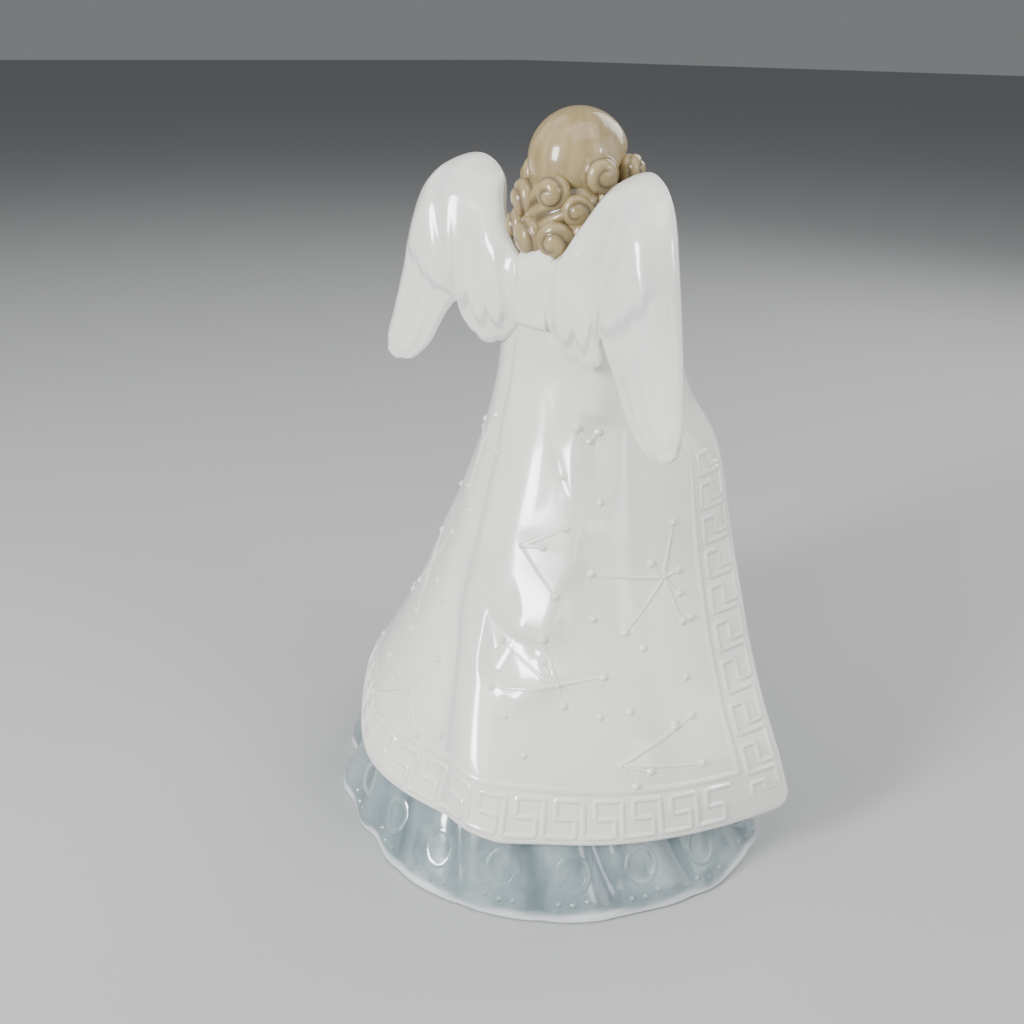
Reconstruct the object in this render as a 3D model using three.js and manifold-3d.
// Porcelain angel figurine: a hollow fluted gown, a draped cloak, a pair of wings and hand-rolled hair.
// Millimetres, +Z up. The figure faces -Y, its own left is +X, and the origin is the centre of its base.
// An azimuth is in degrees round +Z from straight behind the figure (+Y), positive towards +X.
import * as THREE from "three";
import { mergeVertices } from "three/addons/utils/BufferGeometryUtils.js";
import Module from "manifold-3d";

const wasm = await Module();
wasm.setup();

// Driving sizes
const seatGap = 0.3;
const skirtRimRadius = 63;
const skirtWaistRadius = 14;
const skirtWall = 2.6;
const skirtCrown = 6;
const fluteDepth = 4;
const waistHeight = 98;
const bodiceHalfWidth = 16.5;
const bodiceHalfDepth = 10.5;
const mantleHemHeight = 18;
const mantleCornerDrop = 1.9;
const mantleNeckHeight = 147;
const mantleHemRadius = 55.7;
const mantleCornerRadius = 70.2;
const mantleNeckRadius = 8.4;
const mantleWall = 2.4;
const shoulderSwell = 4.6;
const ridgeHeight = 2;
const valleyDepth = 2;
const panelSwell = 1.3;
const sleeveRadius = 6.4;
const sleeveWall = 1.6;
const cuffDepth = 5;
const wristRadius = 2.5;
const palmWidth = 7;
const handLength = 18;
const headRise = 21;
const headHalfWidth = 9.4;
const headHalfDepth = 10.8;
const crownHeight = 10.6;
const chinDrop = 13;
const neckRadius = 4.8;
const neckDepth = 10.5;
const capRadius = 11.4;
const capRise = 0.9;
const curlRadius = 4;
const wingRootOffset = 4.6;
const wingSpan = 44.1;
const wingTopRise = 22.6;
const leftWingHeight = 54.2;
const rightWingHeight = 58.4;
const wingSweep = 13.2;
const wingFrontDepth = 5.7;
const wingThickness = 6.4;
const bridgeHeight = 14.5;
const bridgeDepth = 15.4;
const bridgeLean = 1.4;
const bridgeValley = 1.6;

// Heights that follow the neckline
const headCentreHeight = mantleNeckHeight + headRise;
const capCentreHeight = headCentreHeight + capRise;
const wingTopHeight = mantleNeckHeight + wingTopRise;

// Counts of facets
const skirtSides = 72;
const mantleSides = 40;
const mantleBands = 15;
const roundSides = 14;

// Helpers

// Monotone cubic through rising knots, so a profile never bulges past its own points.
function knotSlope(knots, values, i) {
  const last = knots.length - 1;
  const low = Math.max(i - 1, 0);
  const high = Math.min(i + 1, last);
  if (low === i || high === i) {
    return (values[high] - values[low]) / (knots[high] - knots[low]);
  }
  const before = (values[i] - values[low]) / (knots[i] - knots[low]);
  const after = (values[high] - values[i]) / (knots[high] - knots[i]);
  return before * after > 0 ? (2 * before * after) / (before + after) : 0;
}

function smoothAt(knots, values, t) {
  let i = 0;
  while (i < knots.length - 2 && t > knots[i + 1]) i += 1;
  const span = knots[i + 1] - knots[i];
  const s = THREE.MathUtils.clamp((t - knots[i]) / span, 0, 1);
  const a = values[i];
  const b = values[i + 1];
  const p = knotSlope(knots, values, i) * span;
  const q = knotSlope(knots, values, i + 1) * span;
  return a + s * (p + s * (3 * (b - a) - 2 * p - q + s * (2 * (a - b) + p + q)));
}

function swell(x, centre, width) {
  return Math.exp(-(((x - centre) / width) ** 2));
}

// Shortest turn from one azimuth to another, in degrees.
function turnBetween(azimuth, centre) {
  return THREE.MathUtils.euclideanModulo(azimuth - centre + 180, 360) - 180;
}

function polar(radius, azimuth, height) {
  const turn = THREE.MathUtils.degToRad(azimuth);
  return new THREE.Vector3(radius * Math.sin(turn), radius * Math.cos(turn), height);
}

function bodyFrom(points, triangles) {
  const geometry = new THREE.BufferGeometry();
  const flat = new Float32Array(points.flatMap((p) => [p.x, p.y, p.z]));
  geometry.setAttribute("position", new THREE.BufferAttribute(flat, 3));
  geometry.setIndex(triangles.flat());
  return solidFrom(geometry);
}

function solidFrom(geometry) {
  geometry.deleteAttribute("normal");
  geometry.deleteAttribute("uv");
  const merged = mergeVertices(geometry);
  const vertProperties = merged.getAttribute("position").array;
  const turned = signedVolume(vertProperties, merged.index.array) < 0;
  const triVerts = new Uint32Array(merged.index.array);
  for (let i = 0; turned && i < triVerts.length; i += 3) {
    [triVerts[i + 1], triVerts[i + 2]] = [triVerts[i + 2], triVerts[i + 1]];
  }
  return new wasm.Manifold(new wasm.Mesh({ numProp: 3, vertProperties, triVerts }));
}

function signedVolume(positions, index) {
  const corner = (k) => new THREE.Vector3().fromArray(positions, 3 * index[k]);
  let volume = 0;
  for (let i = 0; i < index.length; i += 3) {
    volume += corner(i).dot(corner(i + 1).cross(corner(i + 2))) / 6;
  }
  return volume;
}

function middleOf(points) {
  const sum = points.reduce((total, p) => total.add(p), new THREE.Vector3());
  return sum.divideScalar(points.length);
}

// Closed body through rings of equal count, each end closed by a fan to its middle.
function loft(rings) {
  const count = rings[0].length;
  const points = rings.flat();
  const triangles = [];
  for (let r = 0; r + 1 < rings.length; r += 1) {
    for (let i = 0; i < count; i += 1) {
      const a = r * count + i;
      const b = r * count + ((i + 1) % count);
      triangles.push([a, b, b + count], [a, b + count, a + count]);
    }
  }
  const first = points.push(middleOf(rings[0])) - 1;
  const last = points.push(middleOf(rings.at(-1))) - 1;
  const end = (rings.length - 1) * count;
  for (let i = 0; i < count; i += 1) {
    const j = (i + 1) % count;
    triangles.push([first, j, i], [last, end + i, end + j]);
  }
  return bodyFrom(points, triangles);
}

// Closed sheet between two open grids of the same size, outer and inner.
function sheet(outer, inner) {
  const rows = outer.length;
  const columns = outer[0].length;
  const points = [...outer.flat(), ...inner.flat()];
  const skin = rows * columns;
  const at = (r, c, side) => side * skin + r * columns + c;
  const triangles = [];
  const quad = (a, b, c, d) => triangles.push([a, b, c], [a, c, d]);
  for (let r = 0; r + 1 < rows; r += 1) {
    for (let c = 0; c + 1 < columns; c += 1) {
      quad(at(r, c, 0), at(r, c + 1, 0), at(r + 1, c + 1, 0), at(r + 1, c, 0));
      quad(at(r + 1, c, 1), at(r + 1, c + 1, 1), at(r, c + 1, 1), at(r, c, 1));
    }
    quad(at(r + 1, 0, 0), at(r + 1, 0, 1), at(r, 0, 1), at(r, 0, 0));
    const edge = columns - 1;
    quad(at(r, edge, 0), at(r, edge, 1), at(r + 1, edge, 1), at(r + 1, edge, 0));
  }
  for (let c = 0; c + 1 < columns; c += 1) {
    quad(at(0, c, 0), at(0, c, 1), at(0, c + 1, 1), at(0, c + 1, 0));
    quad(at(rows - 1, c + 1, 0), at(rows - 1, c + 1, 1), at(rows - 1, c, 1), at(rows - 1, c, 0));
  }
  return bodyFrom(points, triangles);
}

function ringAt(centre, across, up, a, b, count = roundSides) {
  return Array.from({ length: count }, (_, i) => {
    const turn = (2 * Math.PI * i) / count;
    return centre
      .clone()
      .addScaledVector(across, a * Math.cos(turn))
      .addScaledVector(up, b * Math.sin(turn));
  });
}

// Direction of a path of points at one of them.
function headingAt(path, i) {
  const next = path[Math.min(i + 1, path.length - 1)];
  return next.clone().sub(path[Math.max(i - 1, 0)]).normalize();
}

function largestBody(solid) {
  return solid.decompose().reduce((best, body) => (body.volume() > best.volume() ? body : best));
}

function trimmed(solid, ...cutters) {
  return largestBody(cutters.reduce((rest, cutter) => rest.subtract(cutter), solid));
}

// Cloak

const mantleHeightShares = [
  0, 0.093, 0.194, 0.279, 0.364, 0.45, 0.55, 0.659, 0.744, 0.806, 0.868, 0.93, 0.969, 1,
];
const mantleBackShares = [
  1, 0.9, 0.745, 0.62, 0.51, 0.42, 0.325, 0.225, 0.165, 0.13, 0.112, 0.088, 0.044, 0,
];
const mantleEdgeShares = [
  1, 0.943, 0.832, 0.735, 0.668, 0.603, 0.544, 0.483, 0.37, 0.309, 0.228, 0.133, 0.053, 0,
];
const mantleEdgeDegrees = [103.2, 102.4, 104.4, 109, 113, 118.6, 124.5, 133.5, 138, 138, 139, 143, 150, 160];
const mantleSwingPowers = [4.2, 3.4, 2.7, 2.7, 2.9, 2.9, 2.6, 2.4, 2, 1.9, 1.7, 1.8, 2, 2.5];
const mantleShoulderShares = [0, 0, 0, 0, 0, 0, 0, 0, 0.1, 0.35, 0.75, 1, 0.6, 0];
const shoulderDegrees = 95;
const shoulderSpread = 38;
const cornerDropPower = 4;
const cornerDropShare = 0.25;
const bandPower = 0.9;

// The main fold runs from the right shoulder down to the middle of the hem, with a valley on its left.
const ridgeHeightShares = [0, 0.25, 0.35, 0.47, 0.56, 0.65, 0.78, 1];
const ridgeDegrees = [-24, -18, -27, -40, -47, -52, -62, -66];
const ridgeFadeShares = [0.8, 1, 1, 1, 0.9, 0.8, 0.5, 0];
const ridgeSpread = 11;
const valleyHeightShares = [0, 0.08, 0.17, 0.27, 0.35, 0.47, 0.6, 0.7, 1];
const valleyDegrees = [-13, -10, -5, 2, 10, 15, 21, 27, 30];
const valleyFadeShares = [0.6, 0.9, 1, 1, 1, 0.9, 0.5, 0.3, 0];
const valleySpread = 6.5;
const panelSpread = 14;
const panelHeightShares = [0, 0.05, 0.12, 0.19, 0.27, 0.35, 0.44, 0.52, 0.65, 1];
const panelDegrees = [20, 66];
const panelFadeShares = [
  [0.8, 0.9, 1, 1, 1, 1, 0.6, 0.3, 0.1, 0],
  [1.5, 1.9, 0.5, -0.1, 0.2, 0.7, 1.2, 0.4, 0, 0],
];

function mantleFold(azimuth, share) {
  const ridgeAt = smoothAt(ridgeHeightShares, ridgeDegrees, share);
  const ridgeFade = smoothAt(ridgeHeightShares, ridgeFadeShares, share);
  const ridge = ridgeFade * swell(azimuth, ridgeAt, ridgeSpread);
  const valleyAt = smoothAt(valleyHeightShares, valleyDegrees, share);
  const valleyFade = smoothAt(valleyHeightShares, valleyFadeShares, share);
  const valley = valleyFade * swell(azimuth, valleyAt, valleySpread);
  const panels = panelDegrees.reduce((sum, at, i) => {
    const fade = smoothAt(panelHeightShares, panelFadeShares[i], share);
    return sum + fade * swell(azimuth, at, panelSpread);
  }, 0);
  return ridgeHeight * ridge - valleyDepth * valley + panelSwell * panels;
}

function mantleRow(values, share) {
  return smoothAt(mantleHeightShares, values, share);
}

function mantleRadius(azimuth, share) {
  const back = THREE.MathUtils.lerp(mantleNeckRadius, mantleHemRadius, mantleRow(mantleBackShares, share));
  const edgeShare = mantleRow(mantleEdgeShares, share);
  const edge = THREE.MathUtils.lerp(mantleNeckRadius, mantleCornerRadius, edgeShare);
  const swing = Math.abs(azimuth / mantleRow(mantleEdgeDegrees, share));
  const power = mantleRow(mantleSwingPowers, share);
  const shoulder = shoulderSwell * mantleRow(mantleShoulderShares, share);
  const side = shoulder * swell(Math.abs(azimuth), shoulderDegrees, shoulderSpread);
  return back + (edge - back) * swing ** power + side + mantleFold(azimuth, share);
}

// Height on the cloak; its hem hangs a little lower towards the two front corners.
function mantleHeightAt(share, swing) {
  const drop = mantleCornerDrop * swing ** cornerDropPower * Math.max(1 - share / cornerDropShare, 0);
  return mantleHemHeight + (mantleNeckHeight - mantleHemHeight) * share - drop;
}

// One face of the cloak, moved out by offset and drawn out past its rims by grow.
function mantleGrid(offset, grow) {
  const rows = Array.from({ length: mantleBands + 1 }, (_, row) => {
    return { share: (row / mantleBands) ** bandPower, past: 0 };
  });
  const swings = Array.from({ length: mantleSides + 1 }, (_, column) => {
    return { swing: (2 * column) / mantleSides - 1, past: 0 };
  });
  if (grow > 0) {
    rows.unshift({ share: 0, past: -grow });
    rows.push({ share: 1, past: grow });
    swings.unshift({ swing: -1, past: -grow });
    swings.push({ swing: 1, past: grow });
  }
  return rows.map((row) => {
    const edge = mantleRow(mantleEdgeDegrees, row.share);
    return swings.map((column) => {
      const radius = mantleRadius(column.swing * edge, row.share) + offset;
      const azimuth = column.swing * edge + THREE.MathUtils.radToDeg(column.past / radius);
      return polar(radius, azimuth, mantleHeightAt(row.share, column.swing) + row.past);
    });
  });
}

function mantleSolid(grow = 0) {
  return sheet(mantleGrid(grow, grow), mantleGrid(-mantleWall - grow, grow));
}

// Gown: hollow skirt, open at the base

const skirtHeightShares = [0, 0.041, 0.092, 0.184, 0.306, 0.439, 0.551, 0.663, 0.776, 0.908, 1];
const skirtRadiusShares = [1, 0.972, 0.914, 0.808, 0.635, 0.479, 0.365, 0.26, 0.167, 0.0625, 0];
const skirtRingShares = [1, 0.82, 0.63, 0.45, 0.306, 0.184, 0.092, 0.04, 0];
const hollowRingShares = [0, 0.15, 0.4, 0.7, 1];
const fluteDegrees = [10, 24, 44, 76, 106, 138, 171, -165, -134, -112, -83, -63, 0];
const fluteDepthShares = [0.75, 0.7, 1.15, 0.9, 0.9, 0.95, 1, 0.95, 0.8, 0.9, -0.2, 0.2, 0.15];
const fluteSpread = 6.5;
const fluteHeightShares = [0, 0.1, 0.2, 0.45, 0.8, 1];
const backFadeShares = [1, 0.75, 0.4, 0.2, 0.05, 0];
const frontFadeShares = [1, 0.95, 0.9, 0.7, 0.3, 0];
const frontStartDegrees = 95;
const frontFullDegrees = 125;

function fluteAt(azimuth, share) {
  const swing = Math.abs(turnBetween(azimuth, 0));
  const front = THREE.MathUtils.smoothstep(swing, frontStartDegrees, frontFullDegrees);
  const backFade = smoothAt(fluteHeightShares, backFadeShares, share);
  const fade = backFade + front * (smoothAt(fluteHeightShares, frontFadeShares, share) - backFade);
  const pull = fluteDegrees.reduce(
    (sum, at, i) => sum + fluteDepthShares[i] * swell(turnBetween(azimuth, at), 0, fluteSpread),
    0,
  );
  return fade * pull;
}

function skirtRadius(azimuth, share) {
  const round = smoothAt(skirtHeightShares, skirtRadiusShares, share);
  const radius = THREE.MathUtils.lerp(skirtWaistRadius, skirtRimRadius, round);
  return radius - fluteDepth * fluteAt(azimuth, share);
}

function skirtRing(share, inset) {
  return Array.from({ length: skirtSides }, (_, i) => {
    const azimuth = (360 * i) / skirtSides;
    return polar(skirtRadius(azimuth, share) - inset, azimuth, waistHeight * share);
  });
}

function skirtSolid() {
  const outer = skirtRingShares.map((share) => skirtRing(share, 0));
  const hollowTop = 1 - skirtCrown / waistHeight;
  const inner = hollowRingShares.map((share) => skirtRing(share * hollowTop, skirtWall));
  return loft([...outer, ...inner]);
}

// Gown: bodice, a loft of ellipses up to the neck

const bodiceHeightShares = [0, 0.07, 0.2, 0.45, 0.68, 0.82, 0.93, 1];
const bodiceWidthShares = [0.83, 0.78, 0.78, 0.95, 1, 0.98, 0.66, 0.4];
const bodiceDepthShares = [1.24, 1.02, 0.92, 1.06, 1.04, 0.92, 0.74, 0.58];

function bodiceSolid() {
  const base = waistHeight + seatGap;
  const tall = mantleNeckHeight - base;
  const across = new THREE.Vector3(1, 0, 0);
  const up = new THREE.Vector3(0, 1, 0);
  return loft(
    bodiceHeightShares.map((share, i) => {
      const centre = new THREE.Vector3(0, 0, base + tall * share);
      const wide = bodiceHalfWidth * bodiceWidthShares[i];
      const deep = bodiceHalfDepth * bodiceDepthShares[i];
      return ringAt(centre, across, up, wide, deep, 2 * roundSides);
    }),
  );
}

// Sleeves and hands, joined in prayer in front of the breast

// Stations down the arm: shares of the hem radius to the side and back, and of the way from waist to neck.
const armSideShares = [0.2, 0.25, 0.28, 0.24, 0.18, 0.14];
const armBackShares = [-0.04, -0.08, -0.15, -0.3, -0.43, -0.52];
const armHeightShares = [0.685, 0.46, 0.235, 0.175, 0.19, 0.226];
const sleeveWidthShares = [0.66, 0.8, 0.92, 0.98, 1, 1.05];
const sleeveDepthShares = [0.66, 0.8, 0.96, 1.12, 1.3, 1.42];
const recessWallShare = 1.4;

function armPath(side) {
  return armSideShares.map(
    (share, i) =>
      new THREE.Vector3(
        side * mantleHemRadius * share,
        mantleHemRadius * armBackShares[i],
        THREE.MathUtils.lerp(waistHeight, mantleNeckHeight, armHeightShares[i]),
      ),
  );
}

function sleeveRing(path, i, inset, shift, side) {
  const heading = headingAt(path, i);
  const across = new THREE.Vector3(side, 0, 0).addScaledVector(heading, -side * heading.x).normalize();
  const up = heading.clone().cross(across);
  const centre = path[i].clone().addScaledVector(heading, shift);
  const wide = sleeveRadius * sleeveWidthShares[i] - inset;
  const deep = sleeveRadius * sleeveDepthShares[i] - inset;
  return ringAt(centre, across, up, wide, deep);
}

// The cuff is a real mouth: the loft turns in over its lip and back down a recess.
function sleeveSolid(side, grow = 0) {
  const path = armPath(side);
  const end = path.length - 1;
  const shifts = path.map((_, i) => (i === end ? grow : 0) - (i === 0 ? grow : 0));
  const rings = shifts.map((shift, i) => sleeveRing(path, i, -grow, shift, side));
  rings.push(sleeveRing(path, end, sleeveWall + grow, grow, side));
  rings.push(sleeveRing(path, end, recessWallShare * sleeveWall + grow, grow - cuffDepth, side));
  return loft(rings);
}

const handReachShares = [-0.5, -0.1, 0.12, 0.34, 0.62, 0.86, 1];
const handWidthShares = [0.34, 0.34, 0.4, 0.5, 0.44, 0.34, 0.14];
const handThicknessShares = [1, 0.95, 0.85, 0.75, 0.6, 0.48, 0.24];
const handLeanShares = new THREE.Vector3(0, -0.5, 0.86);
const palmOffsetShare = 0.35;
const palmReachShare = 0.4;

function handSolid(side, grow = 0) {
  const wrist = armPath(side).at(-1);
  const heading = handLeanShares.clone().normalize();
  const across = new THREE.Vector3(1, 0, 0);
  const up = heading.clone().cross(across);
  const tipSide = side * (seatGap / 2 + wristRadius * handThicknessShares.at(-1));
  return loft(
    handReachShares.map((share, i) => {
      const centre = wrist.clone().addScaledVector(heading, handLength * share);
      const inward = THREE.MathUtils.smoothstep(share, handReachShares[0], palmReachShare);
      const palmSide = tipSide + side * wristRadius * palmOffsetShare * (1 - share);
      centre.x = THREE.MathUtils.lerp(wrist.x, palmSide, inward);
      const thick = wristRadius * handThicknessShares[i] + grow;
      const ring = ringAt(centre, across, up, thick, palmWidth * handWidthShares[i] + grow);
      ring.forEach((p) => (p.x = side * Math.max(side * p.x, seatGap / 2 - grow)));
      return ring;
    }),
  );
}

// Head: one closed skull and face on a neck that is let into the bodice

const headLean = THREE.MathUtils.degToRad(6);
const headDepthOffset = -1.2;
const headRings = 13;
// How far the jaw narrows, grows shallow and comes forward towards the chin.
const jawShares = { narrow: 0.3, shallow: 0.22, forward: 0.2 };
const jawPower = 1.5;
// Bumps on the face, all in shares of the head's half width: place, how far each stands out, and its spread.
const faceFeatureShares = [
  { across: 0, up: -0.58, out: 0.19, wide: 0.14, tall: 0.14 },
  { across: 0, up: -0.36, out: 0.1, wide: 0.1, tall: 0.24 },
  { across: 0.38, up: -0.16, out: -0.09, wide: 0.22, tall: 0.15 },
  { across: -0.38, up: -0.16, out: -0.09, wide: 0.22, tall: 0.15 },
  { across: 0.48, up: -0.6, out: 0.05, wide: 0.26, tall: 0.26 },
  { across: -0.48, up: -0.6, out: 0.05, wide: 0.26, tall: 0.26 },
  { across: 0, up: -0.9, out: 0.07, wide: 0.24, tall: 0.1 },
  { across: 0, up: -1.22, out: 0.08, wide: 0.24, tall: 0.16 },
];

function faceRelief(x, z) {
  return faceFeatureShares.reduce((sum, f) => {
    const spread = swell(x, f.across, f.wide) * swell(z, f.up, f.tall);
    return sum + f.out * spread;
  }, 0);
}

function headPoint(azimuth, tilt, grow) {
  const turn = THREE.MathUtils.degToRad(azimuth);
  const down = Math.max(-Math.sin(tilt), 0);
  const wide = headHalfWidth * (1 - jawShares.narrow * down ** 2) + grow;
  const deep = headHalfDepth * (1 - jawShares.shallow * down ** 2) + grow;
  const tall = (tilt < 0 ? chinDrop : crownHeight) + grow;
  const point = new THREE.Vector3(
    wide * Math.cos(tilt) * Math.sin(turn),
    deep * Math.cos(tilt) * Math.cos(turn),
    tall * Math.sin(tilt),
  );
  point.y -= jawShares.forward * headHalfDepth * down ** jawPower;
  if (point.y < 0) point.y -= headHalfWidth * faceRelief(point.x / headHalfWidth, point.z / headHalfWidth);
  return placedOnHead(point);
}

function placedOnHead(point) {
  point.applyAxisAngle(new THREE.Vector3(1, 0, 0), headLean);
  return point.add(new THREE.Vector3(0, headDepthOffset, headCentreHeight));
}

function headSolid(grow = 0) {
  const sides = 2 * roundSides;
  const skull = loft(
    Array.from({ length: headRings }, (_, r) => {
      const tilt = Math.PI * ((r + 0.5) / headRings - 0.5);
      return Array.from({ length: sides }, (_, i) => headPoint((360 * i) / sides, tilt, grow));
    }),
  );
  return skull.add(neckSolid(grow));
}

const neckFlareShares = [1.12, 0.96, 1];
const neckForwardShares = [0.5, 0.75, 1];

function neckSolid(grow) {
  const base = headCentreHeight - chinDrop - neckDepth;
  const across = new THREE.Vector3(1, 0, 0);
  const up = new THREE.Vector3(0, 1, 0);
  const heights = [base - grow, base + neckDepth / 2, headCentreHeight - chinDrop / 2];
  return loft(
    heights.map((height, i) => {
      const centre = new THREE.Vector3(0, headDepthOffset * neckForwardShares[i], height);
      const radius = neckRadius * neckFlareShares[i] + grow;
      return ringAt(centre, across, up, radius, radius);
    }),
  );
}

// Hair: a smooth cap over the skull, cut along the hairline

const capDepthShare = 1.05;
const capOffset = -0.3;
// Places on the hairline and of the mass of hair at the nape, as shares of the cap's radius from its centre.
const hairlineFrontShares = { back: -1.02, up: 0.5 };
const hairlineNapeShares = { back: 0.72, up: -0.95 };
const napeShares = { back: 0.1, up: -0.95, wide: 1.04, deep: 1.05, tall: 0.85, front: -0.22 };
const cutterShare = 6;
const capRings = 11;

function headRow(shares) {
  return new THREE.Vector3(0, capOffset + capRadius * shares.back, capCentreHeight + capRadius * shares.up);
}

// Closed ball of three half sizes.
function ball(centre, wide, deep, tall) {
  const sides = 2 * roundSides;
  return loft(
    Array.from({ length: capRings }, (_, r) => {
      const tilt = Math.PI * ((r + 0.5) / capRings - 0.5);
      return Array.from({ length: sides }, (_, i) => {
        const flat = polar(Math.cos(tilt), (360 * i) / sides, Math.sin(tilt));
        return flat.multiply(new THREE.Vector3(wide, deep, tall)).add(centre);
      });
    }),
  );
}

function capDome(grow) {
  const radius = capRadius + grow;
  return ball(headRow({ back: 0, up: 0 }), radius, radius * capDepthShare, radius);
}

// Everything behind and above the hairline.
function hairSide(grow) {
  const front = headRow(hairlineFrontShares);
  const nape = headRow(hairlineNapeShares);
  const run = front.clone().sub(nape);
  const size = cutterShare * capRadius;
  const box = new THREE.BoxGeometry(size, size, size);
  box.translate(0, 0, size / 2 - grow);
  box.rotateX(Math.atan2(run.z, run.y) + Math.PI);
  const middle = front.add(nape).divideScalar(2);
  box.translate(middle.x, middle.y, middle.z);
  return solidFrom(box);
}

// The mass under the curls, which ends at the ears.
function napeSolid(grow) {
  const wide = capRadius * napeShares.wide + grow;
  const deep = capRadius * napeShares.deep + grow;
  const mass = ball(headRow(napeShares), wide, deep, capRadius * napeShares.tall + grow);
  const size = cutterShare * capRadius;
  const face = new THREE.BoxGeometry(size, size, size);
  face.translate(0, capOffset + capRadius * napeShares.front - grow - size / 2, capCentreHeight);
  return mass.subtract(solidFrom(face));
}

function capSolid(grow = 0) {
  return capDome(grow).intersect(hairSide(grow)).add(napeSolid(grow));
}

// Curls: rolled domes set round the cap and down the nape. Each has the azimuth of its middle, its height above
// the cap's centre as a share of the cap's radius, how far out it stands, its size, and the hand of its roll.
const curlShares = [
  { azimuth: -14, up: -0.54, out: 1.3, size: 0.98, hand: 1 },
  { azimuth: -68, up: -0.18, out: 1.3, size: 1, hand: 1 },
  { azimuth: -112, up: -0.14, out: 1.38, size: 0.84, hand: -1 },
  { azimuth: 38, up: -0.74, out: 1.36, size: 1.14, hand: -1 },
  { azimuth: 74, up: -0.34, out: 1.27, size: 1, hand: -1 },
  { azimuth: 112, up: -0.14, out: 1.38, size: 0.84, hand: 1 },
  { azimuth: 46, up: -1.3, out: 1.46, size: 1, hand: 1 },
  { azimuth: -42, up: -0.86, out: 1.24, size: 0.92, hand: -1 },
  { azimuth: -86, up: -0.68, out: 1.26, size: 0.88, hand: 1 },
  { azimuth: 82, up: -0.68, out: 1.26, size: 0.88, hand: 1 },
  { azimuth: 118, up: -0.6, out: 1.2, size: 0.8, hand: -1 },
  { azimuth: -118, up: -0.6, out: 1.2, size: 0.8, hand: 1 },
  { azimuth: 16, up: -1.44, out: 1.4, size: 1.18, hand: 1 },
  { azimuth: -20, up: -1.42, out: 1.36, size: 1.12, hand: -1 },
  { azimuth: -52, up: -1.3, out: 1.2, size: 0.9, hand: 1 },
  { azimuth: 72, up: -1.26, out: 1.22, size: 0.86, hand: -1 },
];
const curlRings = 5;
const curlSides = 11;
const curlFlatShare = 0.95;
const curlTiltShare = 0.25;
const rollReliefShare = 0.08;
const rollTurns = 1.5;

function curlSolid(curl, grow = 0) {
  const radius = curlRadius * curl.size;
  const reach = capRadius * curl.out;
  const centre = polar(reach - curlFlatShare * radius, curl.azimuth, capCentreHeight + capRadius * curl.up);
  centre.y += capOffset;
  const outward = polar(1, curl.azimuth, curlTiltShare * curl.up).normalize();
  const across = new THREE.Vector3(0, 0, 1).cross(outward).normalize();
  const up = outward.clone().cross(across);
  return loft(
    Array.from({ length: curlRings }, (_, r) => {
      const tilt = Math.PI * ((r + 0.5) / curlRings - 0.5);
      const rise = (curlFlatShare * radius + grow) * Math.sin(tilt);
      const middle = centre.clone().addScaledVector(outward, rise);
      const wide = radius * Math.cos(tilt) + grow;
      const ring = ringAt(middle, across, up, wide, wide, curlSides);
      return ring.map((p, i) => {
        const roll = Math.cos((2 * Math.PI * i * curl.hand) / curlSides + 2 * rollTurns * tilt);
        return p.addScaledVector(outward, tilt > 0 ? rollReliefShare * radius * roll : 0);
      });
    }),
  );
}

// Wings: a thick rounded leading edge that arches over and down to a drooping tip, and a notched trailing edge

// Stations from root to tip, as shares of the span, the sweep and the height.
const leadingShares = [
  [0.009, 0.54, 0.6],
  [0.111, 0.49, 0.674],
  [0.197, 0.36, 0.788],
  [0.297, 0.09, 0.925],
  [0.472, 0.05, 0.985],
  [0.633, 0.28, 0.95],
  [0.735, 0.47, 0.87],
  [0.814, 0.62, 0.706],
  [0.88, 0.705, 0.492],
  [0.946, 0.833, 0.272],
  [0.984, 0.95, 0.125],
  [0.975, 0.98, 0.075],
];
const trailingShares = [
  [0, 0.54, 0.32],
  [0.077, 0.5, 0.25],
  [0.179, 0.47, 0.2],
  [0.3, 0.53, 0.185],
  [0.4, 0.66, 0.26],
  [0.425, 0.8, 0.36],
  [0.475, 0.86, 0.32],
  [0.555, 0.87, 0.232],
  [0.617, 0.88, 0.155],
  [0.69, 0.91, 0.092],
  [0.785, 0.96, 0.035],
  [0.87, 1, 0.027],
];
const wingThicknessShares = [0.7, 0.8, 0.92, 0.98, 1, 0.97, 0.9, 0.81, 0.71, 0.61, 0.5, 0.36];
const wingStations = 22;
const wingStepShare = 0.04;
const wingMiddleShare = 0.4;
const droopStartShare = 0.4;
const droopFullShare = 0.8;
// Half section from leading to trailing edge: place on the chord, and half thickness.
const chordShares = [0, 0.03, 0.1, 0.22, 0.4, 0.58, 0.68, 0.86, 0.97, 1];
const chordThicknessShares = [0, 0.28, 0.45, 0.5, 0.49, 0.44, 0.34, 0.28, 0.18, 0];

// The roots and lobes of the two wings match; the right one's long feathers hang lower.
function wingPoint(shares, side, at) {
  const droop = THREE.MathUtils.smoothstep(at, droopStartShare, droopFullShare);
  const wingHeight = THREE.MathUtils.lerp(leftWingHeight, side > 0 ? leftWingHeight : rightWingHeight, droop);
  return new THREE.Vector3(
    side * (wingRootOffset + wingSpan * shares[0]),
    wingFrontDepth + wingSweep * shares[1],
    wingTopHeight - wingHeight * (1 - shares[2]),
  );
}

function curveOf(table, side) {
  const points = table.map((row, i) => wingPoint(row, side, i / (table.length - 1)));
  const curve = new THREE.CatmullRomCurve3(points, false, "centripetal");
  return (t) => curve.getPoint(t);
}

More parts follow.
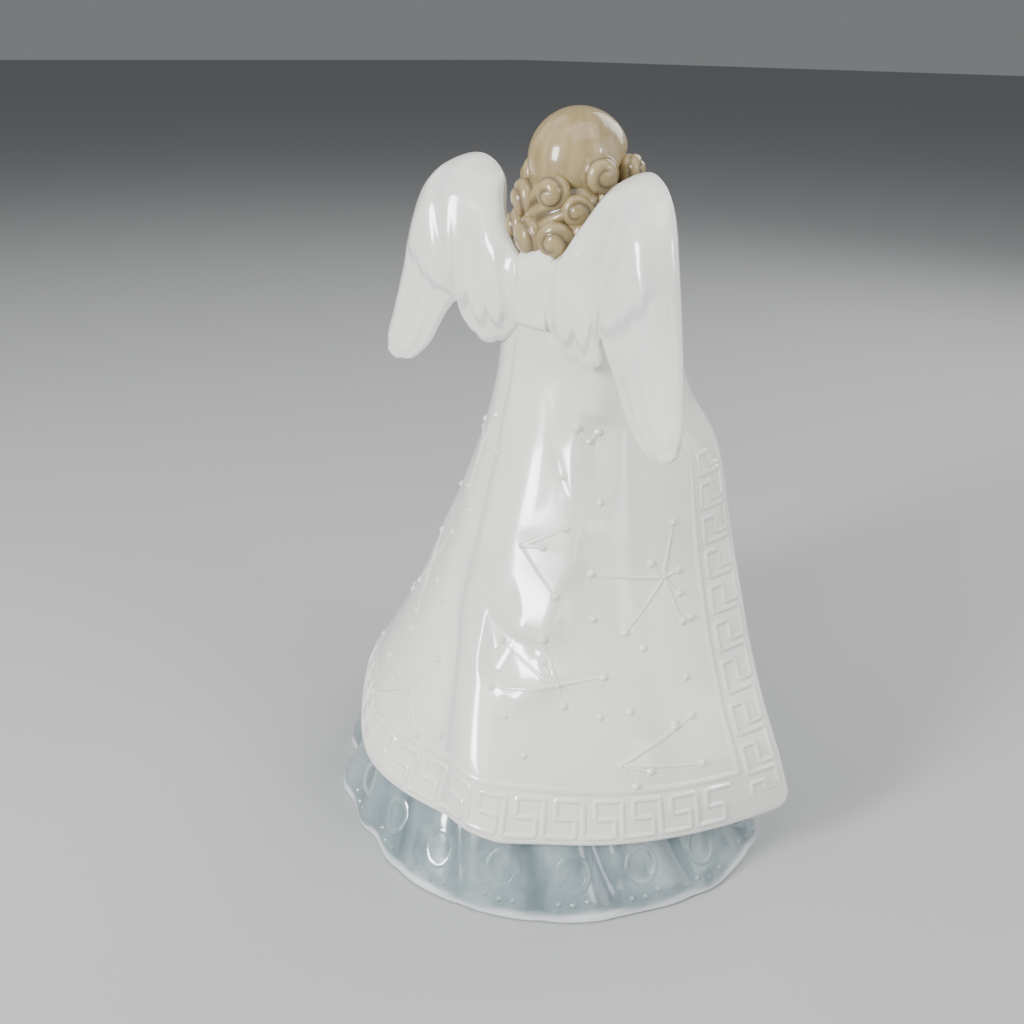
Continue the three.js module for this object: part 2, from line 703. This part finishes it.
function wingSolid(side, grow = 0) {
  const leading = curveOf(leadingShares, side);
  const trailing = curveOf(trailingShares, side);
  const knots = wingThicknessShares.map((_, i) => i / (wingThicknessShares.length - 1));
  const middle = (t) => leading(t).lerp(trailing(t), wingMiddleShare);
  return loft(
    Array.from({ length: wingStations + 1 }, (_, station) => {
      const t = station / wingStations;
      const chord = trailing(t).sub(leading(t));
      const along = middle(Math.min(t + wingStepShare, 1)).sub(middle(Math.max(t - wingStepShare, 0)));
      const past = station === 0 ? -grow : station === wingStations ? grow : 0;
      const face = chord.clone().cross(along).normalize();
      const thick = wingThickness * smoothAt(knots, wingThicknessShares, t);
      const start = leading(t).addScaledVector(along.normalize(), past);
      return wingSection(start, chord, face, thick, grow);
    }),
  );
}

function wingSection(start, chord, face, thick, grow) {
  const length = chord.length();
  const place = (k, flip) => {
    const ends = THREE.MathUtils.lerp(-grow, grow, chordShares[k]);
    const rise = thick * chordThicknessShares[k] + grow;
    return start
      .clone()
      .addScaledVector(chord, chordShares[k] + ends / length)
      .addScaledVector(face, flip * rise);
  };
  const last = chordShares.length - 1;
  const upper = chordShares.map((_, k) => place(k, 1));
  const lower = chordShares.map((_, k) => place(k, -1)).reverse();
  return grow > 0 ? [...upper, ...lower] : [...upper, ...lower.slice(1, last)];
}

// Bridge between the wing roots, two flat facets that meet in a valley

function bridgeSolid(grow = 0) {
  const halfWidth = wingRootOffset - seatGap + grow;
  const top = mantleNeckHeight - seatGap;
  return loft(
    [-grow, bridgeHeight + grow].map((rise) => {
      const face = bridgeDepth - (bridgeLean * rise) / bridgeHeight + grow;
      const height = top - bridgeHeight + rise;
      const share = (height - mantleHemHeight) / (mantleNeckHeight - mantleHemHeight);
      const inside = mantleRadius(0, Math.min(share, 1)) - mantleWall / 2 - grow;
      return [
        new THREE.Vector3(-halfWidth, inside, height),
        new THREE.Vector3(halfWidth, inside, height),
        new THREE.Vector3(halfWidth, face, height),
        new THREE.Vector3(0, face - bridgeValley, height),
        new THREE.Vector3(-halfWidth, face, height),
      ];
    }),
  );
}

// Materials

function glaze(color, roughness) {
  return new THREE.MeshStandardMaterial({ color, roughness, metalness: 0 });
}

const whiteGlaze = glaze(0xe4e6e2, 0.12);
const blueGlaze = glaze(0x9fb2bd, 0.14);
const hairGlaze = glaze(0xa3937a, 0.16);
const fleshGlaze = glaze(0xe9cdb9, 0.2);

// Assembly

const angel = new THREE.Group();

function addPiece(name, solid, material) {
  const data = solid.getMesh();
  const geometry = new THREE.BufferGeometry();
  geometry.setAttribute("position", new THREE.BufferAttribute(new Float32Array(data.vertProperties), 3));
  geometry.setIndex(new THREE.BufferAttribute(new Uint32Array(data.triVerts), 1));
  const mesh = new THREE.Mesh(geometry, material);
  mesh.name = name;
  angel.add(mesh);
}

const mantleCutter = mantleSolid(seatGap);
const headCutter = headSolid(seatGap);
const bridgeCutter = bridgeSolid(seatGap);
const bodice = trimmed(bodiceSolid(), headCutter, mantleCutter);

addPiece("mantle", mantleSolid(), whiteGlaze);
addPiece("skirt", trimmed(skirtSolid(), mantleCutter), blueGlaze);
addPiece("bodice", bodice, blueGlaze);
addPiece("head", trimmed(headSolid(), mantleCutter), fleshGlaze);
addPiece("hair_cap", trimmed(capSolid(), headCutter), hairGlaze);
addPiece("wing_bridge", trimmed(bridgeSolid(), mantleCutter), whiteGlaze);

const wingCutters = [];
for (const [name, side] of [["left", 1], ["right", -1]]) {
  const sleeve = trimmed(sleeveSolid(side), mantleCutter, bodiceSolidGrown());
  addPiece(name + "_sleeve", sleeve, blueGlaze);
  addPiece(name + "_hand", trimmed(handSolid(side), sleeveSolid(side, seatGap)), fleshGlaze);
  addPiece(name + "_wing", trimmed(wingSolid(side), mantleCutter, bridgeCutter), whiteGlaze);
  wingCutters.push(wingSolid(side, seatGap));
}

// The bodice made larger all round, to cut the sleeves clear of it.
function bodiceSolidGrown() {
  const stretch = 1 + seatGap / bodiceHalfDepth;
  return bodiceSolid().scale([stretch, stretch, 1]);
}

const curlCutters = [headCutter, capSolid(seatGap), mantleCutter, bridgeCutter, ...wingCutters];
curlShares.forEach((curl, i) => {
  const number = String(i + 1).padStart(2, "0");
  addPiece("curl_" + number, trimmed(curlSolid(curl), ...curlCutters), hairGlaze);
  curlCutters.push(curlSolid(curl, seatGap));
});

export default angel;
